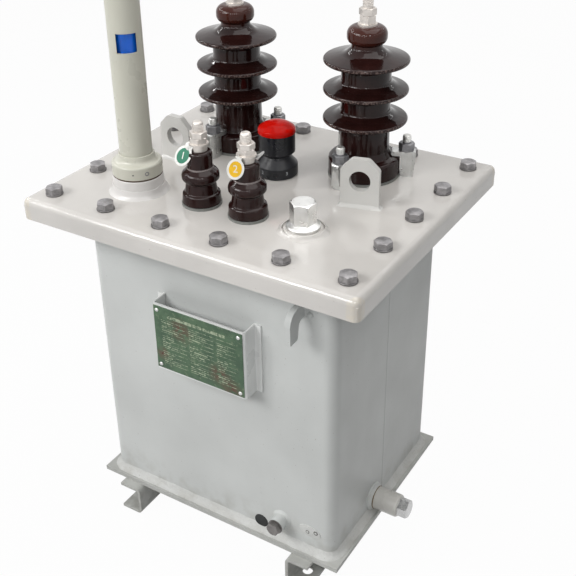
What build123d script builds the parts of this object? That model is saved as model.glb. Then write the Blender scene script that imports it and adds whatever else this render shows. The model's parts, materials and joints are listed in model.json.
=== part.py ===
from build123d import *
import os
from math import atan2, cos, degrees, hypot, pi, radians, sin, sqrt, tan

# Single-phase pole mounted distribution transformer, oil filled.
# Millimetres. +Z up, +X along the nameplate wall, -Y the nameplate wall's outward side.
# Origin: the middle of the footprint, on the plane the feet stand on.

os.makedirs("parts", exist_ok=True)

# ---------------------------------------------------------------- driving dimensions
# tank
tank_width = 349.0
tank_depth = 269.0
tank_wall = 3.0
tank_wall_height = 421.0
tank_corner_radius = 15.0
flange_width = 45.0
flange_thickness = 6.0
gasket_inset = 3.0
gasket_thickness = 5.0

# base plate and feet
base_overhang = 11.3
base_thickness = 6.0
foot_height = 43.0
foot_flange = 33.0
foot_thickness = 4.0
foot_bend_radius = 7.0
foot_web_inset = 68.3
foot_end_overhang = 11.7
foot_hole = 14.0
foot_hole_from_end = 29.0

# cover
cover_clearance_side = 5.0
cover_clearance_front = 4.0
cover_sheet = 3.0
cover_rim_height = 26.3
cover_bend_radius = 8.0
bolt_from_side = 27.5
bolt_from_front = 29.3
front_bolt_count = 6
side_bolt_count = 5
bolt_size = 12.0
bolt_hole_clearance = 1.5

# high-voltage bushings
hv_spacing = 185.0
hv_from_rear = 104.5
hv_base_diameter = 88.0
hv_base_height = 22.0
hv_barrel_diameter = 60.0
hv_shed_diameter = 102.6
hv_shed_rim = 4.4
hv_shed_count = 3
hv_first_shed = 73.7
hv_shed_pitch = 36.4
hv_neck_diameter = 37.0
hv_head_diameter = 47.8
hv_head_height = 21.0
hv_height = 187.0
hv_stud = 12.0
hv_stud_top = 234.0
hv_stud_below = 40.0
hv_nut_flats = 18.0
hv_nut_height = 10.0
hv_locknut_height = 8.0
hv_washer = 23.0
hv_washer_thickness = 2.5
hv_spigot = 44.0
hv_spigot_depth = 25.0
porcelain_gasket = 3.0
spigot_clearance = 1.0
stud_clearance = 1.0

# porcelain clamps
clamp_count = 3
clamp_first_angle = 24.0
clamp_radius = 51.5
clamp_width = 15.0
clamp_leg_foot = 9.0
clamp_leg_top = 12.0
clamp_nose_radius = 2.4
clamp_top = 33.0
clamp_stud = 10.0
clamp_stud_top = 52.5
clamp_nut_flats = 17.0
clamp_nut_height = 8.0
clamp_washer = 19.0
clamp_washer_thickness = 2.0

# low-voltage bushings
lv_spacing = 65.0
lv_from_front = 99.5
lv_base_diameter = 46.5
lv_shed_diameter = 44.4
lv_dome_diameter = 29.5
lv_shed_low = 31.5
lv_shed_high = 40.5
lv_groove = 47.0
lv_height = 68.0
lv_stud = 12.0
lv_stud_top = 103.0
lv_stud_below = 32.0
lv_nut_flats = 18.0
lv_nut_height = 7.0
lv_washer = 23.0
lv_washer_thickness = 2.0
lv_collar = 19.0
lv_collar_height = 7.0
lv_spigot = 28.0
lv_spigot_depth = 20.0

# tap changer, gauge, filler
tap_y = 28.0
tap_cap_diameter = 47.0
tap_cap_edge = 3.5
tap_cap_height = 13.6
tap_cap_curve = 28.0
tap_body_diameter = 45.0
tap_body_low = 30.5
tap_body_top = 55.0
tap_neck_diameter = 32.0
tap_neck_height = 26.0
tap_skirt_diameter = 51.0
tap_skirt_height = 14.0
gauge_from_left = 106.5
gauge_from_front = 92.5
gauge_tube = 39.2
gauge_tube_wall = 2.5
gauge_stub_bore = 40.0
gauge_collar = 60.5
gauge_stub_height = 22.0
gauge_gasket = 1.5
gauge_collar_height = 16.0
gauge_collar_throat = 10.0
gauge_window_low = 174.5
gauge_window_high = 197.0
gauge_window_width = 22.5
gauge_window_turn = 43.0
gauge_float_margin = 5.0
gauge_glass_wall = 2.0
gauge_glass_below_top = 10.0
gauge_top = 252.0
filler_from_right = 122.5
filler_from_front = 100.5
filler_boss = 50.0
filler_boss_height = 4.0
filler_flange = 40.0
filler_across_flats = 27.0
filler_crown = 26.0
filler_top = 36.0

# lifting lugs and hooks
lug_from_side = 96.0
lug_offset_y = -2.0
lug_turn_right = 14.5
lug_turn_left = -2.5
lug_width = 46.0
lug_height = 60.0
lug_thickness = 8.0
lug_bore = 25.0
lug_bore_height = 33.0
lug_chamfer = 13.0
hook_from_side = 41.5
hook_thickness = 7.5
hook_top = 57.0
hook_arm = 17.5
hook_reach = 34.5
hook_drop = 97.0

# wall fittings
plate_width = 127.0
plate_height = 89.0
plate_thickness = 1.0
bracket_margin = 2.5
bracket_standoff = 24.0
bracket_sheet = 2.0
bracket_foot = 8.0
bracket_x = 3.5
bracket_below_cover = 108.5
drain_y = -27.0
drain_above_base = 21.3
drain_pad = 40.0
drain_body = 30.0
drain_body_reach = 40.0
drain_plug_flats = 22.0
drain_plug_reach = 13.0
earth_from_side = 74.5
earth_above_base = 33.5
earth_boss = 20.0
earth_boss_reach = 16.0
earth_bolt_flats = 16.0
earth_washer = 20.0
earth_washer_thickness = 1.5
earth_head_height = 6.5
fit = 0.3

# ---------------------------------------------------------------- derived levels
base_z = foot_height
wall_z = base_z + base_thickness
wall_top = wall_z + tank_wall_height
deck = wall_top + gasket_thickness + cover_sheet
front = -tank_depth / 2
side = tank_width / 2

# ---------------------------------------------------------------- derived sizes and places
base_width = tank_width + 2 * base_overhang
base_depth = tank_depth + 2 * base_overhang
foot_length = base_depth + 2 * foot_end_overhang
flange_x = tank_width + 2 * flange_width
flange_y = tank_depth + 2 * flange_width
cover_width = flange_x + 2 * (cover_clearance_side + cover_sheet)
cover_depth = flange_y + 2 * (cover_clearance_front + cover_sheet)
bolt_hole = bolt_size + bolt_hole_clearance
hv_y = cover_depth / 2 - hv_from_rear
hv_places = [(-hv_spacing / 2, hv_y), (hv_spacing / 2, hv_y)]
lv_y = lv_from_front - cover_depth / 2
lv_places = [(-lv_spacing / 2, lv_y), (lv_spacing / 2, lv_y)]
gauge_place = (gauge_from_left - cover_width / 2, gauge_from_front - cover_depth / 2)
filler_place = (cover_width / 2 - filler_from_right, filler_from_front - cover_depth / 2)
lug_x = cover_width / 2 - lug_from_side
hook_x = side - hook_from_side


def spaced(count, length):
    """Places along a line of this length, middle at zero, with one at each end."""
    return [length * (i / (count - 1) - 0.5) for i in range(count)]


def bolt_places():
    xs = spaced(front_bolt_count, cover_width - 2 * bolt_from_side)
    ys = spaced(side_bolt_count, cover_depth - 2 * bolt_from_front)
    return [(x, y) for x in xs for y in ys if x in (xs[0], xs[-1]) or y in (ys[0], ys[-1])]


def rounded_edges(points, closed=True):
    """Edges through (a, b, radius) corners in the XZ plane, each corner rounded to its radius."""
    n = len(points)
    marks = []
    for i, (a, b, r) in enumerate(points):
        pa, pb = points[i - 1][:2]
        na, nb = points[(i + 1) % n][:2]
        if r <= 0:
            marks.append([(a, b)])
            continue
        u = ((pa - a), (pb - b))
        v = ((na - a), (nb - b))
        lu, lv = hypot(*u), hypot(*v)
        u, v = (u[0] / lu, u[1] / lu), (v[0] / lv, v[1] / lv)
        turn = atan2(abs(u[0] * v[1] - u[1] * v[0]), u[0] * v[0] + u[1] * v[1])
        cut = r / tan(turn / 2)
        reach = r / sin(turn / 2)
        m = (u[0] + v[0], u[1] + v[1])
        lm = hypot(*m)
        mid = (a + m[0] / lm * (reach - r), b + m[1] / lm * (reach - r))
        marks.append([(a + u[0] * cut, b + u[1] * cut), mid, (a + v[0] * cut, b + v[1] * cut)])
    edges = []
    for i in range(n):
        here, after = marks[i], marks[(i + 1) % n]
        if len(here) == 3:
            edges.append(Edge.make_three_point_arc(*[Vector(p[0], 0, p[1]) for p in here]))
        p, q = here[-1], after[0]
        if hypot(p[0] - q[0], p[1] - q[1]) > 1e-4:
            edges.append(Edge.make_line(Vector(p[0], 0, p[1]), Vector(q[0], 0, q[1])))
    return edges


def turned(points):
    """A solid of revolution about Z from (radius, height, corner radius) points."""
    return revolve(Face(Wire(rounded_edges(points))), Axis.Z, 360)


def plate_from(points, thickness):
    """A plate in the XZ plane, its thickness centred on Y, from rounded corners."""
    return extrude(Face(Wire(rounded_edges(points))), thickness / 2, dir=(0, 1, 0), both=True)


def hexagon(flats, height, chamfer=True):
    """A hexagon head standing on Z = 0 with its top corners turned off."""
    head = extrude(RegularPolygon(flats / sqrt(3), 6), height)
    if chamfer:
        corner = flats / sqrt(3)
        rise = (corner - flats * 0.475) * tan(radians(30))
        head &= turned([(0, 0, 0), (corner, 0, 0), (corner, height - rise, 0),
                        (flats * 0.475, height, 0), (0, height, 0)])
    return head


def save(shape, node):
    export_step(shape, "parts/" + node + ".step")


# ---------------------------------------------------------------- feet and base plate
def foot():
    """A bent channel, web at X = 0 and its two flanges towards +X, lying along Y."""
    t, h, w, r = foot_thickness, foot_height, foot_flange, foot_bend_radius
    section = rounded_edges([
        (0, 0, r), (w, 0, 0), (w, t, 0), (t, t, r - t), (t, h - t, r - t), (w, h - t, 0), (w, h, 0), (0, h, r),
    ])
    channel = extrude(Face(Wire(section)), foot_length / 2, dir=(0, 1, 0), both=True)
    for y in (-1, 1):
        at = Pos(foot_flange / 2, y * (foot_length / 2 - foot_hole_from_end), foot_thickness / 2)
        channel -= at * Cylinder(foot_hole / 2, foot_thickness * 3)
    return channel


foot_web_x = base_width / 2 - foot_web_inset
save(Pos(foot_web_x, 0, 0) * foot(), "foot_channel_right")
save(Pos(-foot_web_x, 0, 0) * Rot(0, 0, 180) * foot(), "foot_channel_left")

base = Box(base_width, base_depth, base_thickness, align=(Align.CENTER, Align.CENTER, Align.MIN))
save(Pos(0, 0, base_z) * base, "base_plate")

# ---------------------------------------------------------------- tank shell, two bent sheets
def tank_section(grow):
    r = tank_corner_radius + grow
    return RectangleRounded(tank_width + 2 * grow, tank_depth + 2 * grow, r)


wall = Pos(0, 0, wall_z) * extrude(tank_section(0) - tank_section(-tank_wall), tank_wall_height)
half = Box(tank_width * 2, tank_depth, tank_wall_height * 3)
save(wall & Pos(0, -tank_depth / 2, wall_z) * half, "tank_front_sheet")
save(wall & Pos(0, tank_depth / 2, wall_z) * half, "tank_rear_sheet")


def drilled(shape, diameter, z):
    for x, y in bolt_places():
        shape -= Pos(x, y, z) * Cylinder(diameter / 2, 2 * cover_rim_height)
    return shape


ring = Rectangle(flange_x, flange_y) - tank_section(0)
flange = Pos(0, 0, wall_top - flange_thickness) * extrude(ring, flange_thickness)
save(drilled(flange, bolt_hole, wall_top), "tank_flange")

ring = Rectangle(flange_x - 2 * gasket_inset, flange_y - 2 * gasket_inset) - tank_section(-tank_wall)
seal = Pos(0, 0, wall_top) * extrude(ring, gasket_thickness)
save(drilled(seal, bolt_hole, wall_top), "cover_gasket")

# ---------------------------------------------------------------- cover, a folded pan
pan = Box(cover_width, cover_depth, cover_rim_height, align=(Align.CENTER, Align.CENTER, Align.MAX))
pan = fillet(pan.edges().filter_by(Axis.Z) + pan.faces().sort_by(Axis.Z)[-1].edges(), cover_bend_radius)
inner = Box(cover_width - 2 * cover_sheet, cover_depth - 2 * cover_sheet, cover_rim_height,
            align=(Align.CENTER, Align.CENTER, Align.MAX))
inner = fillet(inner.edges().filter_by(Axis.Z) + inner.faces().sort_by(Axis.Z)[-1].edges(),
               cover_bend_radius - cover_sheet)
cover = Pos(0, 0, deck) * (pan - Pos(0, 0, -cover_sheet) * inner)
cover = drilled(cover, bolt_hole, deck)
for places, spigot in ((hv_places, hv_spigot), (lv_places, lv_spigot)):
    for x, y in places:
        cover -= Pos(x, y, deck) * Cylinder(spigot / 2 + spigot_clearance, 4 * cover_sheet)
save(cover, "cover")

# ---------------------------------------------------------------- lifting lugs and hooks
def lug():
    w, h, c = lug_width / 2, lug_height, lug_chamfer
    body = plate_from([(-w, 0, 0), (w, 0, 0), (w, h - c, 6), (w - c, h, 6), (c - w, h, 6), (-w, h - c, 6)],
                      lug_thickness)
    bore = Pos(0, 0, lug_bore_height) * Rot(90, 0, 0) * Cylinder(lug_bore / 2, lug_thickness * 3)
    return body - bore


save(Pos(lug_x, lug_offset_y, deck) * Rot(0, 0, lug_turn_right) * lug(), "lifting_lug_right")
save(Pos(-lug_x, lug_offset_y, deck) * Rot(0, 0, lug_turn_left) * lug(), "lifting_lug_left")


def hook():
    """A hook plate against a wall at X = 0, its arm reaching out along +X and bent down."""
    out, low, inner = hook_reach, -hook_drop, -hook_top - hook_arm
    outline = [(0, -hook_top, 0), (out, -hook_top, hook_arm), (out - 1, low, 1.5), (out - hook_arm + 1, low, 3),
               (out - hook_arm - 2.5, inner, 7), (0, inner, 0)]
    return plate_from(outline, hook_thickness)


save(Pos(hook_x, front, deck) * Rot(0, 0, -90) * hook(), "tank_hook_front")
save(Pos(-hook_x, -front, deck) * Rot(0, 0, 90) * hook(), "tank_hook_rear")

# ---------------------------------------------------------------- high-voltage bushings
def hv_porcelain():
    """Base flange, barrel with drip sheds, and a round head overhanging a short neck."""
    g, rb, rn, rs = porcelain_gasket, hv_base_diameter / 2, hv_barrel_diameter / 2, hv_shed_diameter / 2
    rk, rh, t = hv_neck_diameter / 2, hv_head_diameter / 2, hv_shed_rim / 2
    bore = hv_stud / 2 + stud_clearance
    base_top, head_low = g + hv_base_height, hv_height - hv_head_height
    pts = [(hv_spigot / 2, g, 0), (rb, g, 1.5), (rb, base_top, 4.5), (rn + 3.5, base_top + 1.5, 2),
           (rn + 0.5, base_top + 9, 5)]
    for i in range(hv_shed_count):
        z = hv_first_shed + i * hv_shed_pitch
        above, rise = (rn, 10) if i < hv_shed_count - 1 else (rk, 15)
        pts += [(rn, z - 8, 5), (rs - 6, z - t - 1, 5), (rs, z - t, t), (rs, z + t, t),
                (above + 8, z + rise / 2, 14), (above, z + rise, 4)]
    pts += [(rk, head_low, 1), (rh, head_low + 2, 8), (rh, hv_height, 10), (bore, hv_height, 0),
            (bore, -hv_spigot_depth, 0), (hv_spigot / 2, -hv_spigot_depth, 3)]
    return turned(pts)


def flat_ring(outer, inner_d, thickness):
    return extrude(Circle(outer / 2) - Circle(inner_d / 2), thickness)


def flat_disc(diameter, thickness):
    return Cylinder(diameter / 2, thickness, align=(Align.CENTER, Align.CENTER, Align.MIN))


def hv_terminal():
    """Stud through the porcelain with a washer, a nut and a locknut on top."""
    low, top, r = -hv_stud_below, hv_stud_top, hv_stud / 2
    rod = turned([(0, low, 0), (r, low, 1), (r, top, 1.5), (0, top, 0)])
    nut_z = hv_height + hv_washer_thickness
    washer = Pos(0, 0, hv_height) * flat_disc(hv_washer, hv_washer_thickness)
    lower = Pos(0, 0, nut_z) * hexagon(hv_nut_flats, hv_nut_height)
    upper = Pos(0, 0, nut_z + hv_nut_height) * Rot(0, 0, 20) * hexagon(hv_nut_flats, hv_locknut_height)
    return rod + washer + lower + upper


def clamp():
    """A cast claw: leg on the cover at +X, its back rounded, and a nose on the base flange towards -X."""
    seat = porcelain_gasket + hv_base_height + 1.5 + fit
    nose_x = hv_barrel_diameter / 2 + 3.5 - clamp_radius
    leg_x = hv_base_diameter / 2 + 1 + fit - clamp_radius
    outline = [(leg_x, 0, 0), (clamp_leg_foot, 0, 1), (clamp_leg_top, clamp_top - 8, 4),
               (clamp_leg_top - 1, clamp_top, 3), (nose_x, clamp_top - 0.5, clamp_nose_radius),
               (nose_x, seat, clamp_nose_radius), (leg_x, seat, 1.5)]
    body = plate_from(outline, clamp_width)
    back = Rectangle(3 * clamp_leg_top, clamp_width, align=(Align.MAX, Align.CENTER))
    back = fillet(back.vertices().group_by(Axis.X)[-1], clamp_width / 2 - 1)
    body &= Pos(clamp_leg_top, 0, 0) * extrude(back, clamp_top)
    return body - Cylinder((clamp_stud + stud_clearance) / 2, 4 * clamp_top)


def clamp_set(make):
    """The three clamps or fasteners of one bushing, as solids that do not touch."""
    solids = []
    for i in range(clamp_count):
        angle = clamp_first_angle + i * 360 / clamp_count
        solids.append(Rot(0, 0, angle) * Pos(clamp_radius, 0, 0) * make())
    return Compound(children=solids)


def clamp_fastener():
    r, top = clamp_stud / 2, clamp_stud_top
    rod = turned([(0, 0, 0), (r, 0, 0), (r, top, 1.2), (0, top, 0)])
    washer = Pos(0, 0, clamp_top) * flat_disc(clamp_washer, clamp_washer_thickness)
    nut = Pos(0, 0, clamp_top + clamp_washer_thickness) * hexagon(clamp_nut_flats, clamp_nut_height)
    return rod + washer + nut


for name, (x, y) in zip(("left", "right"), hv_places):
    at = Pos(x, y, deck)
    save(at * flat_ring(hv_base_diameter + 1, hv_spigot + 1, porcelain_gasket), "hv_gasket_" + name)
    save(at * hv_porcelain(), "hv_porcelain_" + name)
    save(at * hv_terminal(), "hv_terminal_" + name)
    save(at * clamp_set(clamp), "hv_clamps_" + name)
    save(at * clamp_set(clamp_fastener), "hv_clamp_studs_" + name)

# ---------------------------------------------------------------- low-voltage bushings
def lv_porcelain():
    """Base flange, waisted body, one round drip shed, a bead above it and a plain barrel on top."""
    g, rb, rs, rd = porcelain_gasket, lv_base_diameter / 2, lv_shed_diameter / 2, lv_dome_diameter / 2
    bore = lv_stud / 2 + stud_clearance
    low = -lv_spigot_depth
    return turned([
        (lv_spigot / 2, g, 0), (rb, g, 1.5), (rb - 1, g + 12, 3), (rd + 4.5, g + 14, 2),
        (rd + 2.5, lv_shed_low - 1, 3), (rs, lv_shed_low, 4), (rs, lv_shed_high, 8), (rd + 1, lv_groove - 1, 0.6),
        (rd + 1, lv_groove + 0.6, 0.6), (rd, lv_groove + 1.2, 0), (rd, lv_height, 5), (bore, lv_height, 0),
        (bore, low, 0), (lv_spigot / 2, low, 2),
    ])


def lv_terminal():
    """Stud with a collar, a washer and two nuts that a cable lug goes between."""
    low, top, r = -lv_stud_below, lv_stud_top, lv_stud / 2
    terminal = turned([(0, low, 0), (r, low, 1), (r, top, 3), (0, top, 0)])
    washer_z = lv_height + lv_collar_height
    nut_z = washer_z + lv_washer_thickness
    terminal += Pos(0, 0, lv_height) * flat_disc(lv_collar, lv_collar_height)
    terminal += Pos(0, 0, washer_z) * flat_disc(lv_washer, lv_washer_thickness)
    for i, turn in enumerate((0, 25)):
        at = Pos(0, 0, nut_z + i * lv_nut_height) * Rot(0, 0, turn)
        terminal += at * hexagon(lv_nut_flats, lv_nut_height)
    return terminal


for name, (x, y) in zip(("left", "right"), lv_places):
    at = Pos(x, y, deck)
    save(at * flat_ring(lv_base_diameter + 1, lv_spigot + 1, porcelain_gasket), "lv_gasket_" + name)
    save(at * lv_porcelain(), "lv_porcelain_" + name)
    save(at * lv_terminal(), "lv_terminal_" + name)

# ---------------------------------------------------------------- tap changer
def tap_housing():
    """A moulded knob guard: skirt on the cover, a cone up to the neck and the body above it."""
    rs, rk, rb = tap_skirt_diameter / 2, tap_neck_diameter / 2, tap_body_diameter / 2
    return turned([(0, 0, 0), (rs, 0, 2), (rs, tap_skirt_height, 2.5), (rk, tap_neck_height, 1.5),
                   (rb, tap_body_low, 1.5), (rb, tap_body_top, 0), (0, tap_body_top, 0)])


def tap_cap():
    """The red cap on the body: a short straight edge under a flat dome."""
    low, high, r = tap_body_top, tap_body_top + tap_cap_height, tap_cap_diameter / 2
    return turned([(0, low, 0), (r, low, 1), (r, low + tap_cap_edge + 2.5, 6), (r / 2, high, tap_cap_curve), (0, high, 0)])


tap_at = Pos(0, tap_y, deck)
save(tap_at * tap_housing(), "tap_changer_housing")
save(tap_at * tap_cap(), "tap_changer_cap")

# ---------------------------------------------------------------- oil level gauge
gauge_at = Pos(gauge_place[0], gauge_place[1], deck)
tube_r = gauge_tube / 2
collar_r = gauge_collar / 2
stub_r = gauge_stub_bore / 2
gasket_top = gauge_stub_height + gauge_gasket
collar_top = gasket_top + gauge_collar_height
save(gauge_at * turned([(stub_r, 0, 0), (collar_r + 1.5, 0, 0), (collar_r, gauge_stub_height, 2),
                        (stub_r, gauge_stub_height, 0)]), "gauge_stub")
save(gauge_at * Pos(0, 0, gauge_stub_height) * flat_ring(gauge_collar - 1, gauge_stub_bore, gauge_gasket),
     "gauge_gasket")
save(gauge_at * turned([(tube_r + fit, gasket_top, 0), (collar_r, gasket_top, 1), (collar_r, collar_top, 3),
                        (tube_r + 3.5, collar_top + 1, 6), (tube_r + 1.5, collar_top + gauge_collar_throat, 0.5),
                        (tube_r + fit, collar_top + gauge_collar_throat, 0)]), "gauge_collar")
inner_r = tube_r - gauge_tube_wall
tube = turned([(inner_r, gasket_top, 0), (tube_r, gasket_top, 0), (tube_r, gauge_top, 4), (0, gauge_top, 0),
               (0, gauge_top - gauge_tube_wall, 0), (inner_r, gauge_top - gauge_tube_wall, 3)])
window_h = gauge_window_high - gauge_window_low
window_z = (gauge_window_low + gauge_window_high) / 2
window = Pos(0, -tube_r, window_z) * Box(gauge_window_width, gauge_tube, window_h)
save(gauge_at * (tube - Rot(0, 0, gauge_window_turn) * window), "gauge_tube")
glass_r = inner_r - fit
glass = flat_ring(2 * glass_r, 2 * (glass_r - gauge_glass_wall), gauge_top - gauge_glass_below_top - gasket_top)
save(gauge_at * Pos(0, 0, gasket_top) * glass, "gauge_glass")
float_r = glass_r - gauge_glass_wall - fit
float_low, float_high = gauge_window_low - gauge_float_margin, gauge_window_high + gauge_float_margin
save(gauge_at * turned([(0, float_low, 0), (float_r, float_low, 2), (float_r, float_high, 2),
                        (0, float_high, 0)]), "gauge_float")

# ---------------------------------------------------------------- filler
filler_at = Pos(filler_place[0], filler_place[1], deck)
boss_r, boss_h = filler_boss / 2, filler_boss_height
save(filler_at * turned([(9, 0, 0), (boss_r, 0, 0), (boss_r - 3, boss_h, 2), (9, boss_h, 0)]), "filler_boss")
plug_h = filler_top - boss_h
hex_top = extrude(RegularPolygon(filler_across_flats / sqrt(3), 6), plug_h)
hex_top &= turned([(0, 0, 0), (filler_flange / 2, 0, 0), (filler_flange / 2, plug_h - 6, 0),
                   (filler_crown / 2, plug_h, 2), (0, plug_h, 0)])
flange_disc = turned([(0, 0, 0), (filler_flange / 2, 0, 1), (filler_flange / 2, 4, 2), (14, 7, 1), (0, 7, 0)])
save(filler_at * Pos(0, 0, boss_h) * (flange_disc + Rot(0, 0, 20) * hex_top), "filler_plug")

# ---------------------------------------------------------------- nameplate on its bracket
face_w = plate_width + 2 * bracket_margin
face_h = plate_height + 2 * bracket_margin
bracket_top = deck - bracket_below_cover
s, d, f = bracket_sheet, bracket_standoff, bracket_foot
outline = [(-face_w / 2 - f, 0, 0), (-face_w / 2 - f, -s, 0), (-face_w / 2, -s, 1.5), (-face_w / 2, -d, 4),
           (face_w / 2, -d, 4), (face_w / 2, -s, 1.5), (face_w / 2 + f, -s, 0), (face_w / 2 + f, 0, 0),
           (face_w / 2 - s, 0, 1), (face_w / 2 - s, s - d, 2), (s - face_w / 2, s - d, 2), (s - face_w / 2, 0, 1)]
section = Face(Wire([e.rotate(Axis.X, 90) for e in rounded_edges([(a, -b, r) for a, b, r in outline])]))
bracket = extrude(section, face_h, dir=(0, 0, -1))
save(Pos(bracket_x, front, bracket_top) * bracket, "nameplate_bracket")
save(Pos(bracket_x, front - bracket_standoff - plate_thickness / 2, bracket_top - face_h / 2)
     * Box(plate_width, plate_thickness, plate_height), "nameplate")

# ---------------------------------------------------------------- drain and earth terminal
drain_at = Pos(side, drain_y, wall_z + drain_above_base) * Rot(0, 90, 0)
save(drain_at * turned([(0, 0, 0), (drain_pad / 2 - 1, 0, 0), (drain_pad / 2 - 1, 2.5, 1.5), (0, 2.5, 0)]),
     "drain_pad")
save(drain_at * turned([(0, 2.5, 0), (drain_body / 2, 2.5, 0), (drain_body / 2, drain_body_reach, 3),
                        (0, drain_body_reach, 0)]), "drain_body")
save(drain_at * Pos(0, 0, drain_body_reach) * hexagon(drain_plug_flats, drain_plug_reach), "drain_plug")

earth_at = Pos(side - earth_from_side, front, wall_z + earth_above_base) * Rot(90, 0, 0)
save(earth_at * turned([(0, 0, 0), (earth_boss / 2, 0, 0), (earth_boss / 2, earth_boss_reach, 1),
                        (0, earth_boss_reach, 0)]), "earth_boss")
head = Pos(0, 0, earth_washer_thickness) * hexagon(earth_bolt_flats, earth_head_height)
save(earth_at * Pos(0, 0, earth_boss_reach) * (flat_disc(earth_washer, earth_washer_thickness) + head), "earth_bolt")
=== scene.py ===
import json
import math

import bmesh
import bpy
from mathutils import Matrix, Vector, noise


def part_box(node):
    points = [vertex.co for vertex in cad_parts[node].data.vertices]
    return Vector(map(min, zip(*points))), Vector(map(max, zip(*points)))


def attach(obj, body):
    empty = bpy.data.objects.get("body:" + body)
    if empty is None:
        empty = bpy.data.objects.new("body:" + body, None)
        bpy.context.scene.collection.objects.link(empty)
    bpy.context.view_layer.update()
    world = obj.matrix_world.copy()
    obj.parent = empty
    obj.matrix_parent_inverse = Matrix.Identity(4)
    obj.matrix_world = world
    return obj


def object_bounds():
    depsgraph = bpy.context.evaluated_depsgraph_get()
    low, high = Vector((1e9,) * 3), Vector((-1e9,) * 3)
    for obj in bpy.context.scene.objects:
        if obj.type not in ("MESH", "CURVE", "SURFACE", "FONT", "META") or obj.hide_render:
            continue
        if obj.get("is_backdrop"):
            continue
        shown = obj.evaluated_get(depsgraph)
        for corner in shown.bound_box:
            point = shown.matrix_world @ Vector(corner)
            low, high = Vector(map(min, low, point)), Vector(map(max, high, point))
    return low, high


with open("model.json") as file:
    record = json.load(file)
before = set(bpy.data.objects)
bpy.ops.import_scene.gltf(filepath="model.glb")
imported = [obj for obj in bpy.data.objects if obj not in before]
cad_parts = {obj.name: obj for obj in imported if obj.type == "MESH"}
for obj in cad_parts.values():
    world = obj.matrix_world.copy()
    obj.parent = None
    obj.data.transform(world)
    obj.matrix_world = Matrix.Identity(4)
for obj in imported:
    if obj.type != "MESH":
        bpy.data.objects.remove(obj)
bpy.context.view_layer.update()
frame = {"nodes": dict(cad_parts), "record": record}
nodes = frame["nodes"]

# -------------------------------- studio
# A pale seamless floor under plain soft light: one large lamp high on the left, one overhead, and a
# ring of upright tubes whose reflections run along the glazed rims.
scene = bpy.context.scene
scene.view_settings.view_transform = "Standard"
pure_white = (1.0, 1.0, 1.0)
fill_colour, fill_strength = (0.96, 0.98, 1.0), 0.085


def add_math(tree, operation, first, second):
    """One step of arithmetic on two values, each a socket or a plain number."""
    step = tree.nodes.new("ShaderNodeMath")
    step.operation = operation
    for socket, value in zip(step.inputs, (first, second)):
        if isinstance(value, float):
            socket.default_value = value
        else:
            tree.links.new(value, socket)
    return step.outputs[0]


def seen_directly(tree):
    """1 where a surface is seen by the camera, in a reflection or through glass."""
    path = tree.nodes.new("ShaderNodeLightPath")
    seen = path.outputs["Is Camera Ray"]
    for kind in ("Is Glossy Ray", "Is Transmission Ray"):
        seen = add_math(tree, "MAXIMUM", seen, path.outputs[kind])
    return seen


def set_glow(node, colour, strength):
    node.inputs["Color"].default_value = (*colour, 1.0)
    node.inputs["Strength"].default_value = strength
    return node


def blend_to(tree, share, first, second, output):
    """Mixes two shaders by a share and sends the result to the tree's output."""
    blend = tree.nodes.new("ShaderNodeMixShader")
    for socket, value in zip(blend.inputs, (share, first.outputs[0], second.outputs[0])):
        tree.links.new(value, socket)
    tree.links.new(blend.outputs[0], tree.nodes[output].inputs[0])


def opened(material):
    """A material's node tree and its surface shader."""
    return material.node_tree, material.node_tree.nodes["Principled BSDF"]


def new_shader(name, colour, roughness, metallic=0.0):
    """A material with one surface shader whose even values sit on its own sockets."""
    material = bpy.data.materials.new(name)
    material.use_nodes = True
    tree, shader = opened(material)
    shader.inputs["Base Color"].default_value = (*colour, 1.0)
    shader.inputs["Roughness"].default_value = roughness
    shader.inputs["Metallic"].default_value = metallic
    return material, tree, shader


world = bpy.data.worlds.new("studio")
scene.world = world
world.use_nodes = True
tree = world.node_tree
fill = set_glow(tree.nodes["Background"], fill_colour, fill_strength)
backdrop = set_glow(tree.nodes.new("ShaderNodeBackground"), pure_white, 1.0)
blend_to(tree, seen_directly(tree), fill, backdrop, "World Output")

floor_half, floor_drop = 6.0, 0.0005
floor_grey, floor_roughness, floor_whiteness = 0.52, 0.9, 0.97
mesh = bpy.data.meshes.new("floor")
corners = [(-1, -1), (1, -1), (1, 1), (-1, 1)]
mesh.from_pydata([(x * floor_half, y * floor_half, -floor_drop) for x, y in corners], [],
                 [(0, 1, 2, 3)])
floor = bpy.data.objects.new("floor", mesh)
scene.collection.objects.link(floor)
floor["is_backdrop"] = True
floor_paint, tree, matt = new_shader("floor_paint", (floor_grey,) * 3, floor_roughness)
glow = set_glow(tree.nodes.new("ShaderNodeEmission"), pure_white, 1.0)
share = add_math(tree, "MULTIPLY", seen_directly(tree), floor_whiteness)
blend_to(tree, share, matt, glow, "Material Output")
mesh.materials.append(floor_paint)

lit_point = Vector((0.0, 0.0, 0.35))


def soft_lamp(name, place, size, watts, colour=pure_white):
    """A rectangular lamp turned towards the object."""
    lamp = bpy.data.lights.new(name, "AREA")
    lamp.shape = "RECTANGLE"
    lamp.size, lamp.size_y = size
    lamp.energy = watts
    lamp.color = colour
    holder = bpy.data.objects.new(name, lamp)
    holder.location = place
    holder.rotation_euler = (Vector(place) - lit_point).to_track_quat("Z", "Y").to_euler()
    scene.collection.objects.link(holder)


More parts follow.
